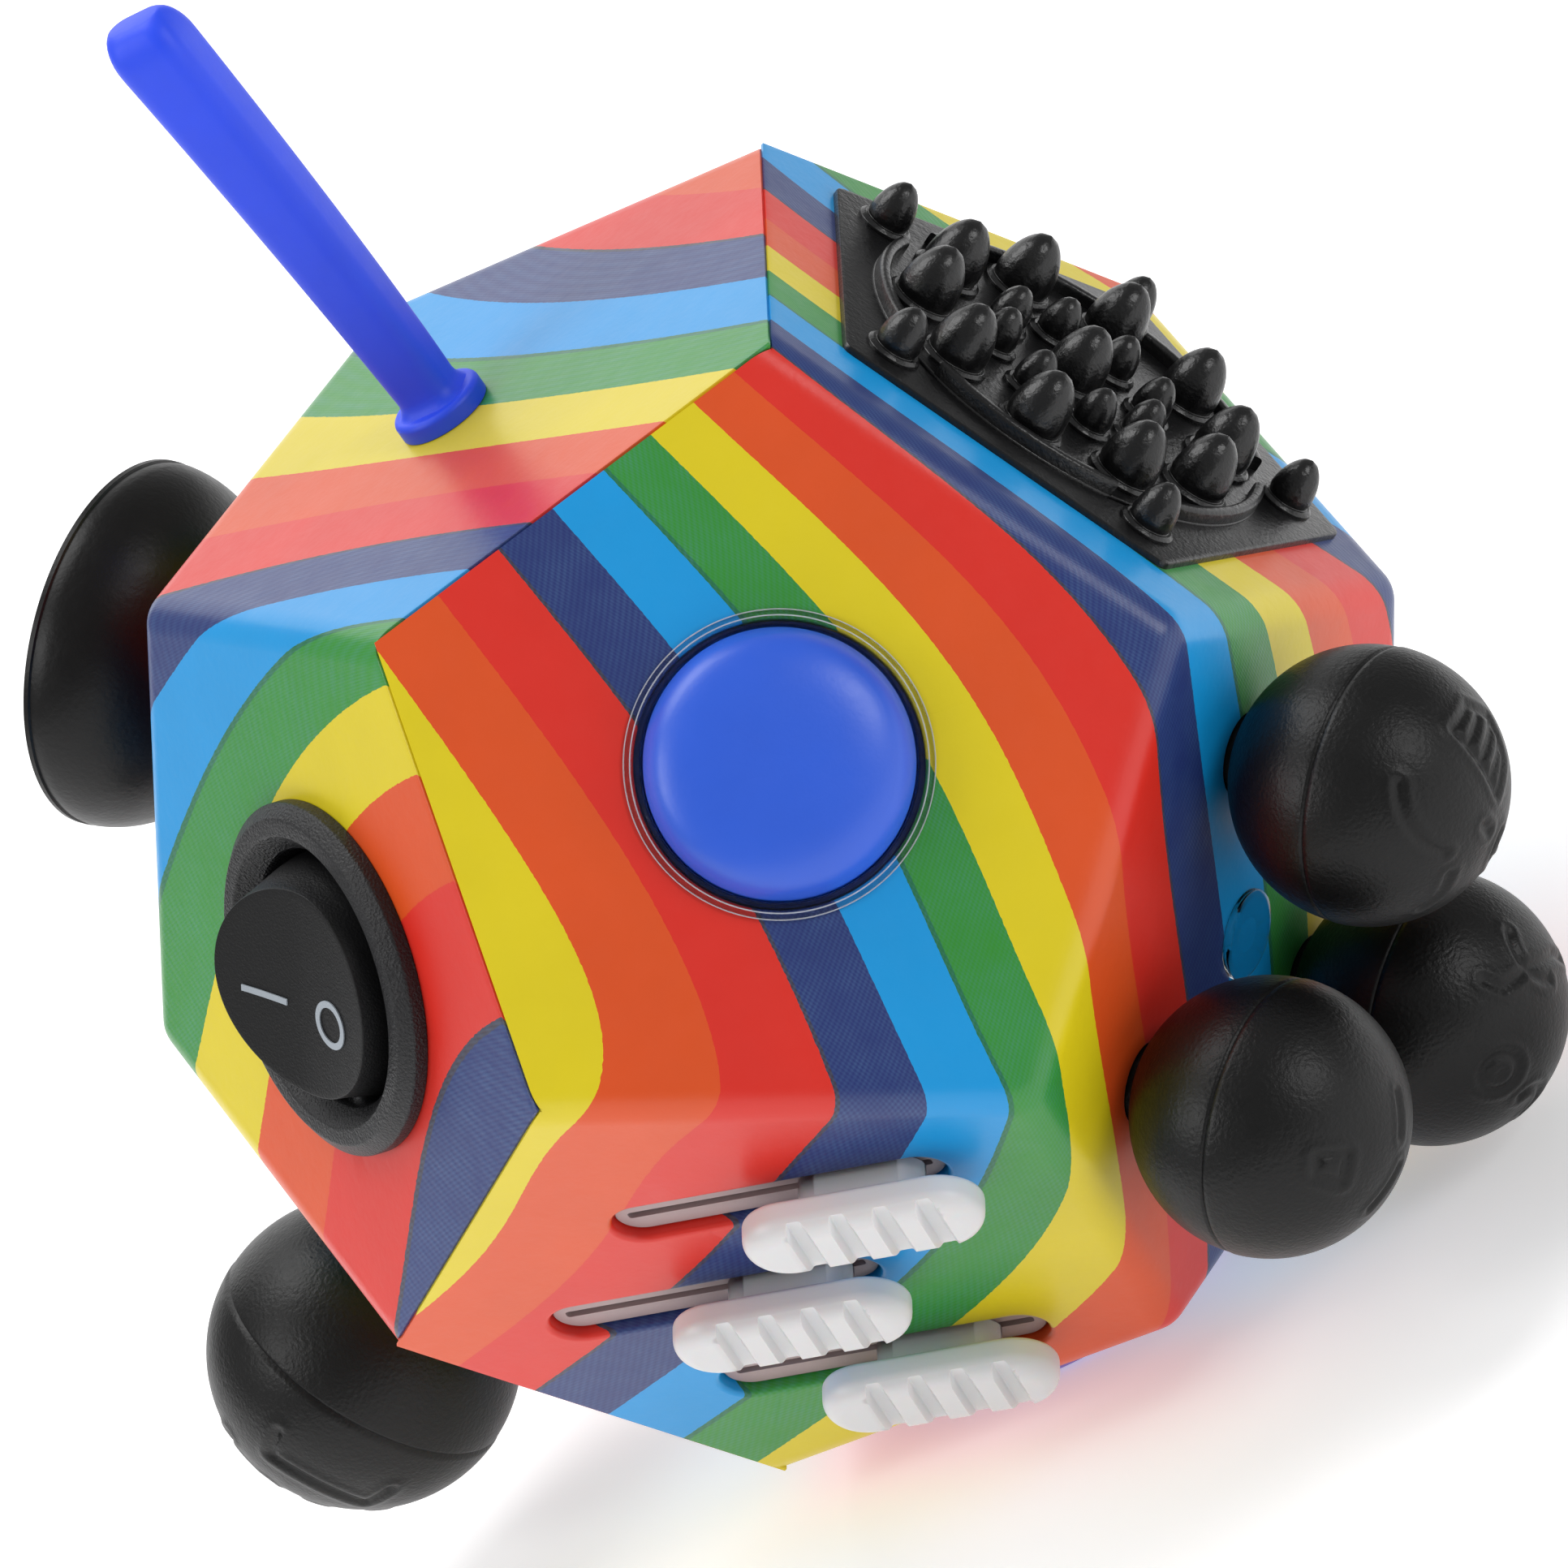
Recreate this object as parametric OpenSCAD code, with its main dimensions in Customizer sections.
// Twelve-sided fidget toy: a hollow dodecahedron in two shells, with a different thing to press,
// slide, flick, turn or squeeze on each face. It stands on the worry pad under its lowest face.

/* [Body] */
// Distance from the middle of the body to each of its twelve faces
face_dist = 30; // [30:0.1:30.4]
// Thickness of the shell walls
wall = 2.2; // [2.1:0.05:2.3]
// Clearance between pieces that move past each other
gap = 0.3; // [0.25:0.05:0.35]

/* [Push button] */
// Radius of the domed cap
button_r = 7.35; // [7.2:0.05:7.4]
// How far the cap travels when pressed
button_travel = 1.5; // [1.2:0.1:1.6]

/* [Rocker switch] */
// Radius of the switch's outer bezel
rocker_bezel_r = 10.1; // [9.9:0.1:10.4]
// Tilt of the paddle either side of level, in degrees
rocker_tilt = 11; // [9:1:11]

/* [Sliders] */
// Length of each slot in the face
slot_len = 19.8; // [19.4:0.1:20]
// Width of each slot
slot_w = 4.2; // [4:0.1:4.3]
// Length of a slider's cap
slider_cap_len = 13.6; // [13:0.1:14]

/* [Balls] */
// Radius of the three small rubber balls
ball_r = 7.86; // [7.6:0.02:7.9]
// Distance of each small ball from the middle of their group
ball_ring_r = 10.9; // [10.8:0.1:11.2]
// Radius of the large squeeze ball
big_ball_r = 9.3; // [9.1:0.1:9.5]

/* [Suction cup] */
// Radius of the cup's rim
cup_r = 11; // [10.5:0.1:11.2]
// Height of the rim above its face
cup_h = 13.4; // [13:0.1:13.8]

/* [Pull loop] */
// Height of the loop above its face
loop_h = 28.8; // [27:0.1:29]
// Width of the loop's strap
loop_w = 5; // [4.6:0.1:5.2]

/* [Spike pad] */
// Height of the large spikes above the face
spike_h = 4.4; // [4.2:0.1:4.6]

/* [Thumb stick] */
// Radius of the stick's cap
stick_cap_r = 6.2; // [5.9:0.1:6.3]

/* [Worry pad] */
// Height of the pad under the lowest face
foot_h = 3.5; // [3.4:0.1:3.8]

/* [Hidden] */
$fn = 64;

big = 200;                       // larger than anything in the model
skin = 1;                        // how far a cutting shape runs past the face it cuts
body_z = face_dist + foot_h;     // height of the body's middle above the table
face_lean = atan(2);             // tilt of the upper ring of faces from the top one

// Each face is [tilt from +Z, turn about Z] of its outward normal.
TOP = [0, 0];
BOTTOM = [180, 0];
function upper(k) = [face_lean, 72 * k - 90];
function lower(k) = [180 - face_lean, 72 * k - 54];

button_face = upper(0);
pad_face = upper(1);
dial_face = upper(2);
cup_face = upper(3);
rocker_face = upper(4);
balls_face = lower(0);
wheel_face = lower(1);
stick_face = lower(2);
big_ball_face = lower(3);
slider_face = lower(4);
loop_face = TOP;
rest_face = BOTTOM;

// Each shell has six faces: the one at its pole, and the five round that.
right_pole = balls_face;
left_pole = cup_face;

// Moves things from the middle of the body into a face's own axes: x runs down the face,
// y runs across it and z points out of it.
module facing(f) {
    translate([0, 0, body_z]) rotate([0, f[0], f[1]]) children();
}

// The same, with z = 0 on the face's outer surface.
module on_face(f) {
    facing(f) translate([0, 0, face_dist]) children();
}

module ring(r_out, r_in, z0, z1) {
    translate([0, 0, z0]) difference() {
        cylinder(r = r_out, h = z1 - z0);
        translate([0, 0, -skin]) cylinder(r = r_in, h = z1 - z0 + 2 * skin);
    }
}

module disc(r, z0, z1) {
    translate([0, 0, z0]) cylinder(r = r, h = z1 - z0);
}

// A bar with round ends, lying along x
module bar(length, width, z0, z1) {
    half = (length - width) / 2;
    for (side = [-1, 1])
        translate([side * half, 0, 0]) disc(width / 2, z0, z1);
    translate([-half, -width / 2, z0]) cube([2 * half, width, z1 - z0]);
}

// ---- Shells ----

module dodecahedron(dist) {
    translate([0, 0, body_z]) intersection() {
        slab(TOP, dist);
        slab(upper(0), dist);
        slab(upper(1), dist);
        slab(upper(2), dist);
        slab(upper(3), dist);
        slab(upper(4), dist);
    }
}

module slab(f, dist) {
    rotate([0, f[0], f[1]]) cube([big, big, 2 * dist], center = true);
}

// Everything on one pole's side of the zigzag seam. The seam runs through ten of the body's
// corners, which stand alternately above and below the middle as seen from the pole.
module pole_side(pole) {
    corner_r = 1.236068;             // of those corners from the pole's axis, over face_dist
    corner_z = 0.236068;             // and from the middle, along it
    reach = 2.2 * face_dist;
    corners = [for (i = [0 : 9])
        reach * [corner_r * cos(36 * i), corner_r * sin(36 * i), corner_z * (2 * (i % 2) - 1)]];
    facing(pole) rotate([0, 0, pole[0] < 90 ? 180 : 0]) polyhedron(
        points = concat([[0, 0, 0], [0, 0, 3 * face_dist]], corners),
        faces = [for (i = [0 : 9]) each let (this = 2 + i, next = 2 + (i + 1) % 10)
            [[0, this, next], [1, next, this]]]
    );
}

module half_shell(pole) {
    difference() {
        dodecahedron(face_dist);
        dodecahedron(face_dist - wall);
        pole_side([180 - pole[0], pole[1] + 180]);
        children();
    }
}

module right_shell() {
    color("gold") half_shell(right_pole) {
        on_face(balls_face) {
            at_balls() disc(ball_neck_r + ball_fit, -wall - skin, skin);
            translate(stud_pos) disc(stud_neck_r, -wall - skin, skin);
        }
        on_face(pad_face) translate(pad_pos) disc(pad_neck_r, -wall - skin, skin);
        on_face(button_face) disc(bezel_skirt_r, -wall - skin, skin);
        on_face(slider_face) {
            disc(track_r + 0.2, -wall - skin, -track_depth);
            turn_sliders() for (i = [0 : 2])
                translate([slot_mid[i], slot_across[i], 0])
                    bar(slot_len, slot_w, -wall - skin, skin);
        }
        on_face(wheel_face) {
            translate([wheels_x, 0, 0]) wheel_window(0);
            translate([roller_x, 0, 0]) disc(roller_hole_r, -wall - skin, skin);
        }
        on_face(rest_face) disc(worry_neck_r, -wall - skin, skin);
    }
}

module left_shell() {
    color("skyblue") half_shell(left_pole) {
        on_face(loop_face) translate(loop_pos) disc(loop_neck_r, -wall - skin, skin);
        on_face(rocker_face) translate(rocker_pos) disc(rocker_barrel_r, -wall - skin, skin);
        on_face(big_ball_face) translate(big_ball_pos) disc(big_neck_r, -wall - skin, skin);
        on_face(cup_face) translate(cup_pos) disc(cup_neck_r, -wall - skin, skin);
        on_face(stick_face) disc(stick_barrel_r, -wall - skin, skin);
        on_face(dial_face) disc(dial_boss_r, -wall - skin, skin);
    }
}

// ---- Pull loop, on the top face ----
loop_pos = [-1.8, 2.6, 0];
loop_neck_r = 1.7;
loop_flange_r = 2.8;
loop_flange_h = 1.5;
loop_slot = 0.8;                     // space between the strap's two runs
loop_thick = 4.4;                    // over both runs
loop_foot_r = loop_thick / 2;        // the loop's lower end is round, so it can bend
loop_hinge_z = loop_flange_h + loop_foot_r + 0.15;

module loop_anchor() {
    color("royalblue") on_face(loop_face) translate(loop_pos) {
        disc(loop_flange_r, 0, loop_flange_h);
        disc(loop_neck_r, -wall, 0);
        disc(loop_flange_r, -wall - 1.6, -wall);
    }
}

module loop_outline(r, z0, z1) {
    for (z = [z0, z1]) translate([0, z]) circle(r = r);
    translate([-r, z0]) square([2 * r, z1 - z0]);
}

module pull_loop() {
    top_z = loop_h - loop_foot_r;
    slot_z0 = loop_hinge_z + 3;
    color("royalblue") on_face(loop_face) translate(loop_pos)
        rotate([90, 0, 90]) linear_extrude(height = loop_w, center = true) difference() {
            loop_outline(loop_foot_r, loop_hinge_z, top_z);
            loop_outline(loop_slot / 2, slot_z0, top_z);
        }
}

// ---- Spike pad ----
pad_pos = [0.7, 1.3, 0];
pad_r = 18;                          // to the corners of its five-sided sheet
pad_neck_r = 3;
pad_sheet = 0.4;
pad_disc = 0.6;
pad_disc_r = 12.6;

// A bullet-shaped silicone spike on a small collar
module spike(x, y, r, z0, z1) {
    translate([x, y, 0]) {
        disc(r + 0.3, z0, z0 + 0.5);
        disc(r, z0, z1 - r);
        translate([0, 0, z1 - r]) sphere(r = r);
    }
}

module spike_pad() {
    color("dimgray") on_face(pad_face) translate(pad_pos) {
        linear_extrude(height = pad_sheet)
            polygon([for (k = [0 : 4]) pad_r * [cos(72 * k), sin(72 * k)]]);
        disc(pad_disc_r, 0, pad_disc);
        ring(pad_disc_r, pad_disc_r - 0.9, pad_disc, pad_disc + 0.8);
        disc(pad_neck_r, -wall, 0);
        spike(0, 0, 1.75, pad_disc, spike_h);
        for (k = [0 : 9])
            spike(9.6 * cos(36 * k), 9.6 * sin(36 * k), 1.75, pad_disc, spike_h);
        for (k = [0 : 7])
            spike(5.1 * cos(45 * k + 10), 5.1 * sin(45 * k + 10), 1.15, pad_disc, spike_h - 1.1);
        for (k = [0 : 4])
            spike(14.3 * cos(72 * k), 14.3 * sin(72 * k), 1.3, pad_sheet, spike_h - 1);
    }
}

module spike_pad_washer() {
    color("gainsboro") on_face(pad_face) translate(pad_pos) disc(pad_neck_r + 2, -wall - 1, -wall);
}

// ---- Push button ----
bezel_skirt_r = 7.85;
bezel_flange_r = 8.25;
bezel_bore_r = button_r + 0.1;
skirt_end = -wall - 0.2;
lip_top = skirt_end - gap;           // the cap's lip stops under the bezel's skirt
lip_bottom = lip_top - 1;
guide_floor = -8.2;
guide_bottom = -9.5;
button_stem_r = 2;
spring_wire_r = 0.3;

module button_bezel() {
    color("lightgray", 0.5) on_face(button_face) {
        ring(bezel_skirt_r, bezel_bore_r, skirt_end, 0);
        ring(bezel_flange_r, bezel_bore_r, 0, 0.4);
    }
}

module button_cap() {
    side_top = 1.2;
    dome_h = 2;
    dome_r = (button_r * button_r + dome_h * dome_h) / (2 * dome_h);
    color("royalblue") on_face(button_face) {
        disc(button_r, lip_top, side_top);
        intersection() {
            disc(button_r, side_top - skin, side_top + dome_h + skin);
            translate([0, 0, side_top + dome_h - dome_r]) sphere(r = dome_r);
        }
        disc(8.6, lip_bottom, lip_top);
        disc(button_stem_r, guide_floor + 0.8, lip_bottom);
    }
}

module button_guide() {
    color("gainsboro") on_face(button_face) {
        ring(10, 8.9, guide_bottom, -wall);
        ring(8.9, button_stem_r + 0.06, guide_bottom, guide_floor);
    }
}

// Points of a round coil's centre line, and the rings of a wire swept along it
function coil_point(t, r, z0, z1, turns) =
    [r * cos(360 * turns * t), r * sin(360 * turns * t), z0 + (z1 - z0) * t];
function wire_ring(t, r, z0, z1, turns, wire_r) = [
    for (j = [0 : 5]) let (a = 360 * turns * t, b = 60 * j, q = r + wire_r * cos(b))
        [q * cos(a), q * sin(a), z0 + (z1 - z0) * t + wire_r * sin(b)]
];

// A compression spring of round wire, with its ends at z0 and z1
module coil_spring(r, z0, z1, turns, wire_r) {
    steps = 14 * turns;
    rings = [for (i = [0 : steps])
        wire_ring(i / steps, r, z0 + wire_r, z1 - wire_r, turns, wire_r)];
    points = [for (one = rings) each one];
    sides = [for (i = [0 : steps - 1]) for (j = [0 : 5])
        [6 * i + j, 6 * i + (j + 1) % 6, 6 * (i + 1) + (j + 1) % 6, 6 * (i + 1) + j]];
    first_cap = [for (j = [5 : -1 : 0]) j];
    last_cap = [for (j = [0 : 5]) 6 * steps + j];
    polyhedron(points = points, faces = concat(sides, [first_cap, last_cap]));
}

module button_spring() {
    color("silver") on_face(button_face)
        coil_spring(3.6, guide_floor, lip_bottom - button_travel - 0.1, 3, spring_wire_r);
}

// ---- Rocker switch ----
rocker_pos = [1.35, 1.35, 0];
rocker_turn = -17;                   // turn of the paddle's axle on the face
rocker_barrel_r = 8.85;
rocker_well_r = 7.3;
rocker_floor = -7.8;
rocker_bottom = -9;
rocker_bezel_h = 1.5;
pivot_z = -1.6;
pin_r = 0.8;
pin_fit = 0.05;
paddle_r = 6.9;
paddle_top = 2.4;

module at_rocker() {
    on_face(rocker_face) translate(rocker_pos) rotate([0, 0, rocker_turn]) children();
}

// Everything on the paddle is drawn level and then tilted about its axle.
module on_paddle() {
    at_rocker() translate([0, 0, pivot_z]) rotate([-rocker_tilt, 0, 0])
        translate([0, 0, -pivot_z]) children();
}

module axle_x(r, length) {
    rotate([0, 90, 0]) cylinder(r = r, h = length, center = true);
}

module rocker_housing() {
    chamfer = 0.9;
    color("dimgray") at_rocker() difference() {
        union() {
            rotate_extrude() polygon([[0, 0], [rocker_bezel_r, 0], [rocker_bezel_r, 0.5],
                [rocker_bezel_r - chamfer, rocker_bezel_h], [0, rocker_bezel_h]]);
            disc(rocker_barrel_r, rocker_bottom, 0);
        }
        disc(rocker_well_r, rocker_floor, rocker_bezel_h + skin);
        translate([0, 0, pivot_z]) axle_x(pin_r, 2 * 8.2);
        at_terminals(skin);
    }
}

module rocker_paddle() {
    hub_r = 2;
    color("black") on_paddle() difference() {
        union() {
            rotate_extrude() polygon([[0, 0.2], [paddle_r, 0.2], [paddle_r, 0.8],
                [paddle_r - 0.5, paddle_top], [0, paddle_top]]);
            translate([0, 0, pivot_z]) axle_x(hub_r, 11);
            translate([-3, -hub_r, pivot_z]) cube([6, 2 * hub_r, 0.2 - pivot_z]);
            disc(1.6, pivot_z - 3, pivot_z);
        }
        translate([0, 0, pivot_z]) axle_x(pin_r + pin_fit, 20);
        disc(plunger_r + pin_fit, pivot_z - 4, pivot_z - 1);
    }
}

module rocker_marks() {
    thick = 0.08;
    mark_y = 2.7;
    mark_x = 0.9;
    color("white") on_paddle() translate([mark_x, 0, 0]) {
        translate([-0.27, -mark_y - 1.6, paddle_top]) cube([0.54, 3.2, thick]);
        translate([0, mark_y, 0]) ring(1.4, 0.95, paddle_top, paddle_top + thick);
    }
}

module rocker_pin() {
    color("silver") at_rocker() translate([0, 0, pivot_z]) axle_x(pin_r, 2 * 8.1);
}

plunger_r = 0.9;
plunger_tip = pivot_z - 5.3;

module rocker_plunger() {
    color("burlywood") on_paddle() {
        disc(plunger_r, plunger_tip + plunger_r, pivot_z - 2.4);
        translate([0, 0, plunger_tip + plunger_r]) sphere(r = plunger_r);
    }
}

module rocker_spring() {
    color("silver") on_paddle()
        coil_spring(0.55, pivot_z - 2.35, pivot_z - 1.05, 3, 0.15);
}

module rocker_contact() {
    color("peru") at_rocker() translate([-1.4, -4, rocker_floor]) cube([2.8, 8, 0.4]);
}

module at_terminals(grow = 0) {
    for (side = [-1, 1])
        translate([-2.4, side * 3 - 0.4, rocker_floor - 4.4]) cube([4.8, 0.8, 4.4 + grow]);
}

module rocker_terminals() {
    color("silver") at_rocker() at_terminals();
}

// ---- Sliders ----
slider_turn = 72;                    // direction of the slots on the face
slot_mid = [2.3, -4.5, 2.3];         // middle of each slot, along the slots
slot_across = [8.3, -1.1, -10.6];    // and across them
slider_rest = [7, -0.1, 5.5];        // where each slider stands, along the slots
track_depth = 1.1;
track_r = 17;
track_bottom = -2.3;
tongue_w = 1.4;
tongue_len = 5;
stem_len = 7.8;
stem_w = 2.6;
slider_cap_w = 5.2;
cap_bottom = 1.5;
cap_top = 3.7;

module turn_sliders() {
    rotate([0, 0, slider_turn]) children();
}

module slider_track() {
    groove_len = slot_len - stem_len + tongue_len + 0.4;
    color("gray") on_face(slider_face) difference() {
        disc(track_r, track_bottom, -track_depth);
        turn_sliders() for (i = [0 : 2])
            translate([slot_mid[i], slot_across[i], 0])
                bar(groove_len, tongue_w + 0.2, track_bottom - skin, skin);
    }
}

module slider(i) {
    rib_pitch = 2.45;
    color("white") on_face(slider_face) turn_sliders()
        translate([slider_rest[i], slot_across[i], 0]) {
            difference() {
                bar(slider_cap_len, slider_cap_w, cap_bottom, cap_top);
                for (k = [-1.5 : 1 : 1.5])
                    translate([k * rib_pitch + 0.5, 0, cap_top + 0.2])
                        rotate([90, 0, 0]) cylinder(r = 0.6, h = 8, center = true);
            }
            bar(stem_len, stem_w, 0.2 - track_depth, cap_bottom);
            translate([-tongue_len / 2, -tongue_w / 2, track_bottom - gap])
                cube([tongue_len, tongue_w, 2]);
            translate([-2, -1.7, track_bottom - gap - 1]) cube([4, 3.4, 1]);
        }
}

module slider_1() { slider(0); }
module slider_2() { slider(1); }
module slider_3() { slider(2); }

// ---- Three small balls ----
balls_pos = [-0.3, -0.9, 0];
ball_turn = 36;
ball_h = 7.7;
ball_neck_r = 2.2;
ball_fit = 0.1;
stud_pos = [0.4, 0.2, 0];
stud_neck_r = 1;

module at_ball(i) {
    translate(balls_pos) rotate([0, 0, ball_turn + 120 * i]) translate([ball_ring_r, 0, 0])
        children();
}

module at_balls() {
    for (i = [0 : 2]) at_ball(i) children();
}

module rubber_ball(i) {
    color("dimgray") on_face(balls_face) at_ball(i) {
        intersection() {
            translate([0, 0, ball_h]) sphere(r = ball_r);
            disc(ball_r + skin, gap, ball_h + ball_r + skin);
        }
        disc(ball_neck_r, -wall - gap, 1);
        disc(ball_neck_r + 1.2, -wall - gap - 1.6, -wall - gap);
    }
}

module ball_1() { rubber_ball(0); }
module ball_2() { rubber_ball(1); }
module ball_3() { rubber_ball(2); }

module ball_group_stud() {
    color("lightgray", 0.5) on_face(balls_face) translate(stud_pos) {
        disc(2.6, 0, 0.4);
        disc(stud_neck_r, -wall, 0);
        disc(stud_neck_r + 0.6, -wall - 0.8, -wall);
    }
}

// ---- Large squeeze ball ----
big_ball_pos = [-1.5, -3.2, 0];
big_ball_h = 13.5;
big_neck_r = 2.2;
big_flange_r = 3.6;
big_flange_h = 1;
big_hinge_z = big_flange_h + big_neck_r + 0.15;

module big_ball_anchor() {
    color("dimgray") on_face(big_ball_face) translate(big_ball_pos) {
        disc(big_flange_r, 0, big_flange_h);
        disc(big_neck_r, -wall, 0);
        disc(big_flange_r, -wall - 1.6, -wall);
    }
}

module big_ball() {
    color("dimgray") on_face(big_ball_face) translate(big_ball_pos) {
        translate([0, 0, big_ball_h]) sphere(r = big_ball_r);
        disc(big_neck_r, big_hinge_z, big_ball_h);
        translate([0, 0, big_hinge_z]) sphere(r = big_neck_r);
    }
}

// ---- Suction cup ----
cup_pos = [-0.5, 0.2, 0];
cup_neck_r = 2.6;
cup_wall = 1.4;

module suction_cup() {
    bell_z = cup_h - 6;              // height of the inside of the bell
    color("dimgray") on_face(cup_face) translate(cup_pos) {
        disc(cup_neck_r + 1, 0, 1);
        disc(cup_neck_r, -wall, bell_z);
        rotate_extrude() polygon([
            [0, bell_z - cup_wall], [cup_neck_r + 0.6, bell_z - cup_wall],
            [cup_r * 0.62, cup_h - 5], [cup_r * 0.86, cup_h - 3.2],
            [cup_r - 0.5, cup_h - 1], [cup_r, cup_h], [cup_r - 0.8, cup_h],
            [cup_r - cup_wall - 0.3, cup_h - 1], [cup_r * 0.86 - cup_wall, cup_h - 2.6],
            [cup_r * 0.62 - cup_wall, cup_h - 4.2], [0, bell_z + 0.4]
        ]);
    }
}

module suction_cup_washer() {
    color("gainsboro") on_face(cup_face) translate(cup_pos) disc(cup_neck_r + 2, -wall - 1.2, -wall);
}

// ---- Thumb stick ----
stick_barrel_r = 9.2;
stick_well_r = 8.2;
stick_pivot_z = -5;
stick_floor = -9;
dome_r = 8;
gimbal_r = 6.2;
gimbal_bore_r = 4.6;
trunnion_r = 0.8;

module axle_y(r, length) {
    rotate([90, 0, 0]) cylinder(r = r, h = length, center = true);
}

module stick_housing() {
    color("dimgray") on_face(stick_face) difference() {
        union() {
            disc(stick_barrel_r, stick_floor - 1, 0);
            disc(stick_barrel_r + 1.6, 0, 1);
        }
        disc(stick_well_r, stick_floor, -0.6);
        disc(7, -skin, 1 + skin);
        translate([0, 0, stick_pivot_z]) axle_x(trunnion_r + pin_fit, 2 * 8.8);
    }
}

module stick_gimbal() {
    color("silver") on_face(stick_face) translate([0, 0, stick_pivot_z]) difference() {
        union() {
            ring(gimbal_r, gimbal_bore_r, -1.2, 1.2);
            for (side = [-1, 1]) translate([side * 7.1, 0, 0]) axle_x(trunnion_r, 3);
        }
        axle_y(trunnion_r + pin_fit, 2 * gimbal_r + 2);
    }
}

module stick_dome() {
    color("dimgray") on_face(stick_face) translate([0, 0, stick_pivot_z]) {
        difference() {
            sphere(r = dome_r);
            sphere(r = dome_r - 0.6);
            disc(big / 2, -big / 2, 4);
        }
        sphere(r = 2.2);
        disc(1.6, 0, dome_r - 0.3);
        disc(1.2, -3, 0);
        axle_y(trunnion_r, 2 * 6);
    }
}

module stick_cap() {
    cap_z = dome_r - 5 + 0.9;
    color("black") on_face(stick_face) {
        disc(2.4, dome_r - 5.05, cap_z);
        rotate_extrude() polygon([[0, cap_z], [stick_cap_r - 0.8, cap_z],
            [stick_cap_r, cap_z + 0.8], [stick_cap_r, cap_z + 1.8],
            [stick_cap_r - 0.8, cap_z + 2.6], [3, cap_z + 1.9], [0, cap_z + 1.7]]);
    }
}

module stick_spring() {
    color("silver") on_face(stick_face) coil_spring(3.2, stick_floor, stick_floor + 0.9, 2, 0.13);
}

// ---- Thumb wheels and roller ball ----
wheels_x = -4;
wheel_r = 5.5;
wheel_w = 2.7;
wheel_pitch = 3.1;
wheel_z = -3;
wheel_axle_r = 0.75;
wheel_bore_r = wheel_axle_r + pin_fit;
cradle_wall = 1.2;
window_x = 12;
window_y = 10;

module wheel_window(grow) {
    translate([-window_x / 2 - grow, -window_y / 2 - grow, -big / 10])
        cube([window_x + 2 * grow, window_y + 2 * grow, big / 5]);
}

module at_wheels() {
    on_face(wheel_face) translate([wheels_x, 0, 0]) children();
}

module wheel_cradle() {
    floor_z = wheel_z - wheel_r - 0.5;
    color("gainsboro") at_wheels() difference() {
        intersection() {
            wheel_window(cradle_wall);
            disc(big / 10, floor_z - cradle_wall, -wall);
        }
        intersection() {
            wheel_window(0);
            disc(big / 10, floor_z, 0);
        }
        translate([0, 0, wheel_z]) axle_y(wheel_axle_r, window_y + 2 * cradle_wall - 0.4);
    }
}

module wheel_axle() {
    color("silver") at_wheels() translate([0, 0, wheel_z])
        axle_y(wheel_axle_r, window_y + 2 * cradle_wall - 0.4);
}

// A thumb wheel with a ribbed rim
module wheel(i) {
    ribs = 20;
    color(["tomato", "gold", "limegreen"][i]) at_wheels()
        translate([0, (i - 1) * wheel_pitch, wheel_z]) difference() {
            rotate([90, 0, 0]) linear_extrude(height = wheel_w, center = true)
                polygon([for (k = [0 : 4 * ribs - 1])
                    let (r = k % 4 < 2 ? wheel_r : wheel_r - 0.45, a = 90 * k / ribs)
                        r * [cos(a), sin(a)]]);
            axle_y(wheel_bore_r, wheel_w + 2);
        }
}

module wheel_1() { wheel(0); }
module wheel_2() { wheel(1); }
module wheel_3() { wheel(2); }

roller_x = 8.6;
roller_r = 3.2;
roller_z = -1.2;
roller_hole_r = 3.4;

module at_roller() {
    on_face(wheel_face) translate([roller_x, 0, 0]) children();
}

module roller_ball() {
    color("silver") at_roller() translate([0, 0, roller_z]) sphere(r = roller_r);
}

module roller_collar() {
    color("silver") at_roller() ring(4.4, 3.1, 0, 0.5);
}

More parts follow.
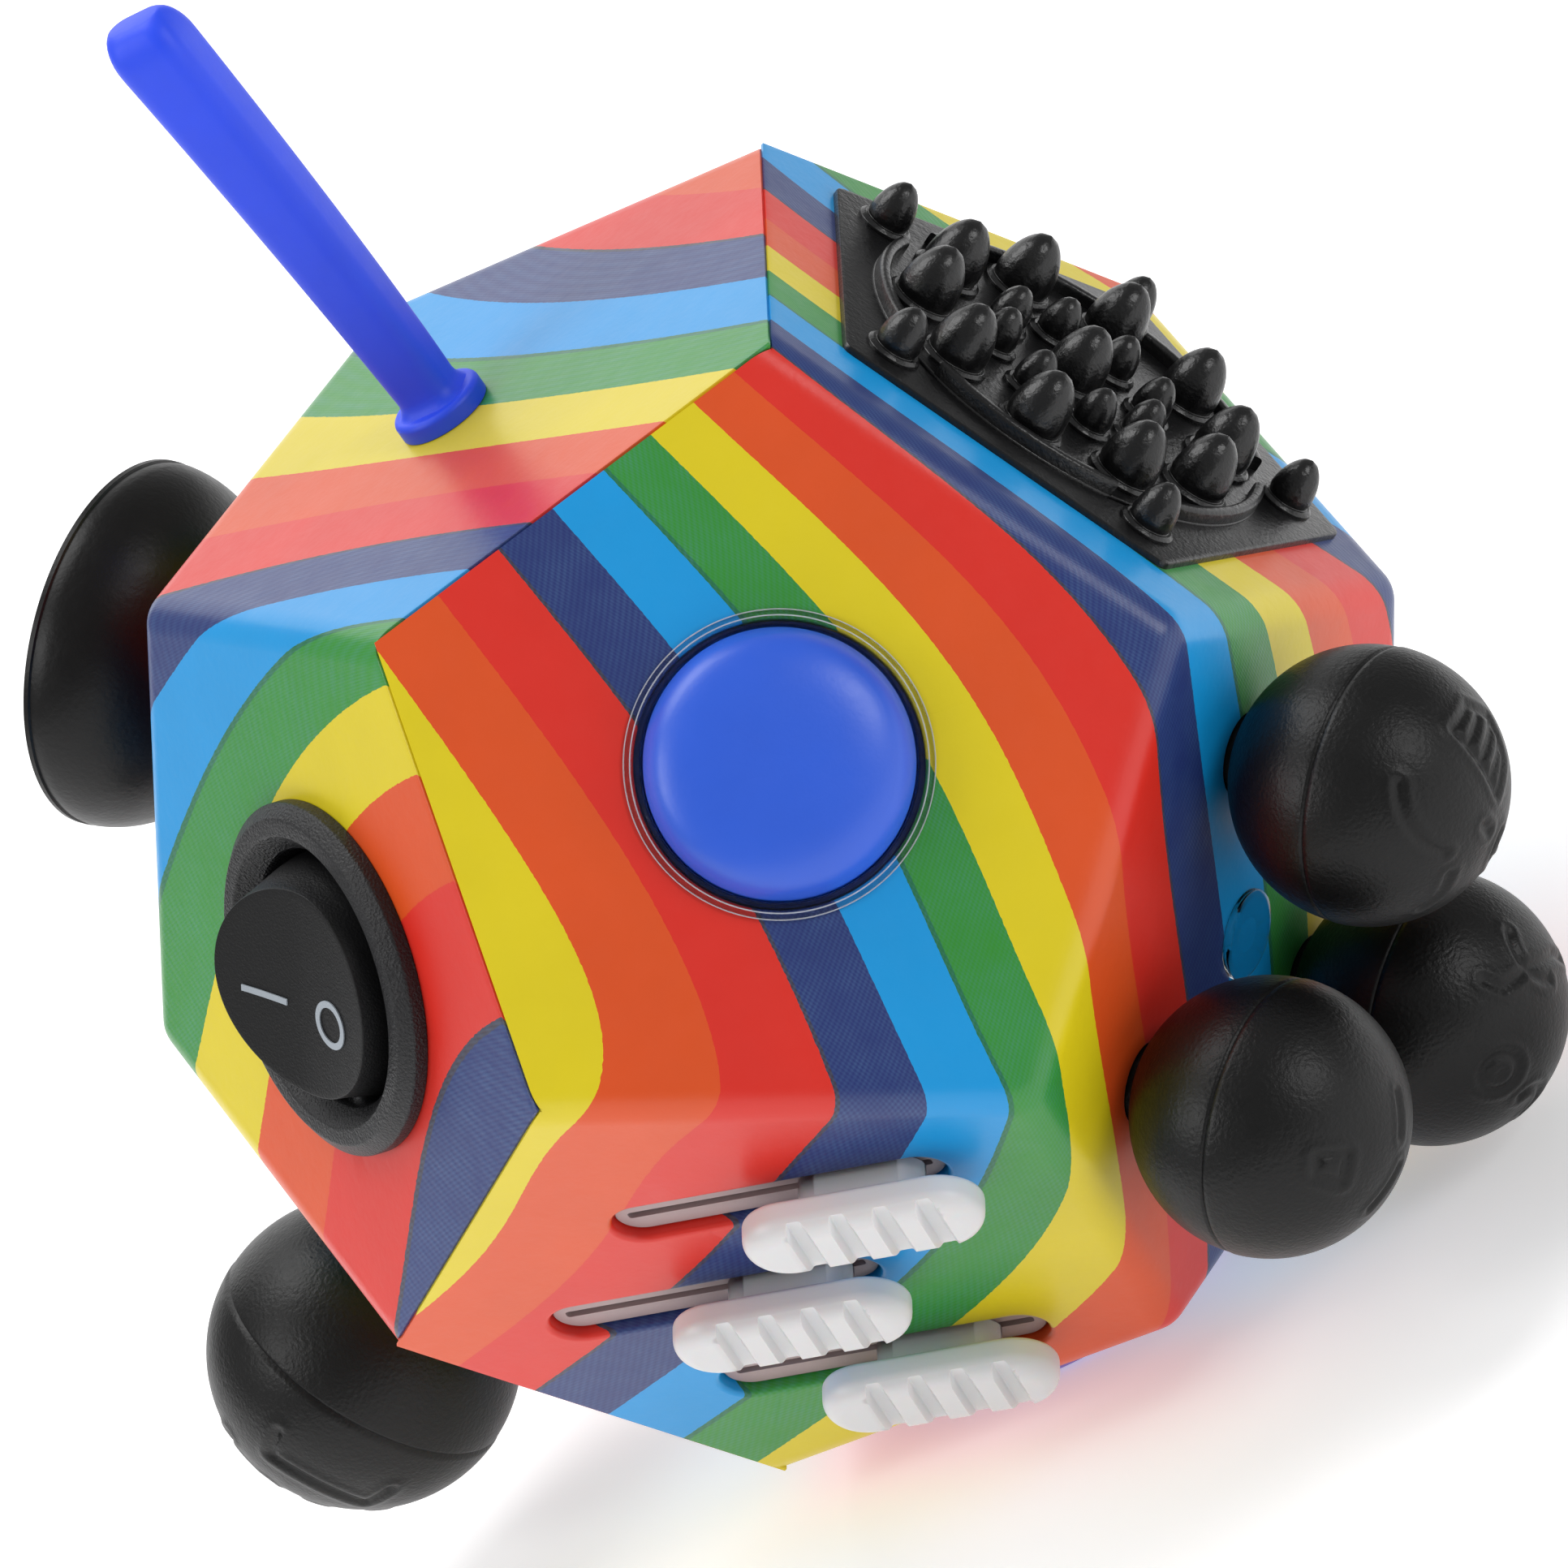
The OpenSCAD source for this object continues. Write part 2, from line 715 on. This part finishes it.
module roller_socket() {
    color("gainsboro") at_roller() difference() {
        disc(4.3, -5.6, -wall);
        translate([0, 0, roller_z]) sphere(r = roller_r + 0.06);
    }
}

// ---- Spinning dial ----
dial_r = 9.4;
dial_boss_r = 3.4;
dial_shaft_r = 1.5;
dial_z = 0.9;
dial_top = 3.2;

module dial_seat() {
    color("dimgray") on_face(dial_face) difference() {
        union() {
            disc(dial_r + 0.8, 0, 0.6);
            disc(dial_boss_r, -5, 0);
        }
        disc(dial_shaft_r + 0.05, -6, skin);
    }
}

module dial_disc() {
    color("dodgerblue") on_face(dial_face) {
        difference() {
            union() {
                disc(dial_r, dial_z, dial_top - 0.6);
                disc(dial_r - 0.6, dial_z, dial_top);
            }
            translate([5, 0, dial_top + 3.4]) sphere(r = 4.6);
        }
        disc(dial_shaft_r, -6.6, dial_z);
    }
}

module dial_clip() {
    color("silver") on_face(dial_face) ring(2.8, dial_shaft_r, -6.1, -5 - gap);
}

// ---- Worry pad, which the toy stands on ----
worry_neck_r = 5;
worry_r = 13;

module worry_pad() {
    color("mediumpurple") on_face(rest_face) {
        difference() {
            rotate_extrude() polygon([[0, 0], [worry_r, 0], [worry_r, foot_h - 0.8],
                [worry_r - 0.8, foot_h], [0, foot_h]]);
            rotate_extrude() translate([6.8, foot_h + 1.6]) circle(r = 3);
        }
        disc(worry_neck_r, -wall, 0);
        disc(worry_neck_r + 1.4, -wall - 1.2, -wall);
    }
}

right_shell();
left_shell();
loop_anchor();
pull_loop();
spike_pad();
spike_pad_washer();
button_cap();
button_bezel();
button_guide();
button_spring();
rocker_housing();
rocker_paddle();
rocker_marks();
rocker_pin();
rocker_plunger();
rocker_spring();
rocker_contact();
rocker_terminals();
slider_track();
slider_1();
slider_2();
slider_3();
ball_1();
ball_2();
ball_3();
ball_group_stud();
big_ball_anchor();
big_ball();
suction_cup();
suction_cup_washer();
stick_housing();
stick_gimbal();
stick_dome();
stick_cap();
stick_spring();
wheel_cradle();
wheel_axle();
wheel_1();
wheel_2();
wheel_3();
roller_ball();
roller_collar();
roller_socket();
dial_seat();
dial_disc();
dial_clip();
worry_pad();
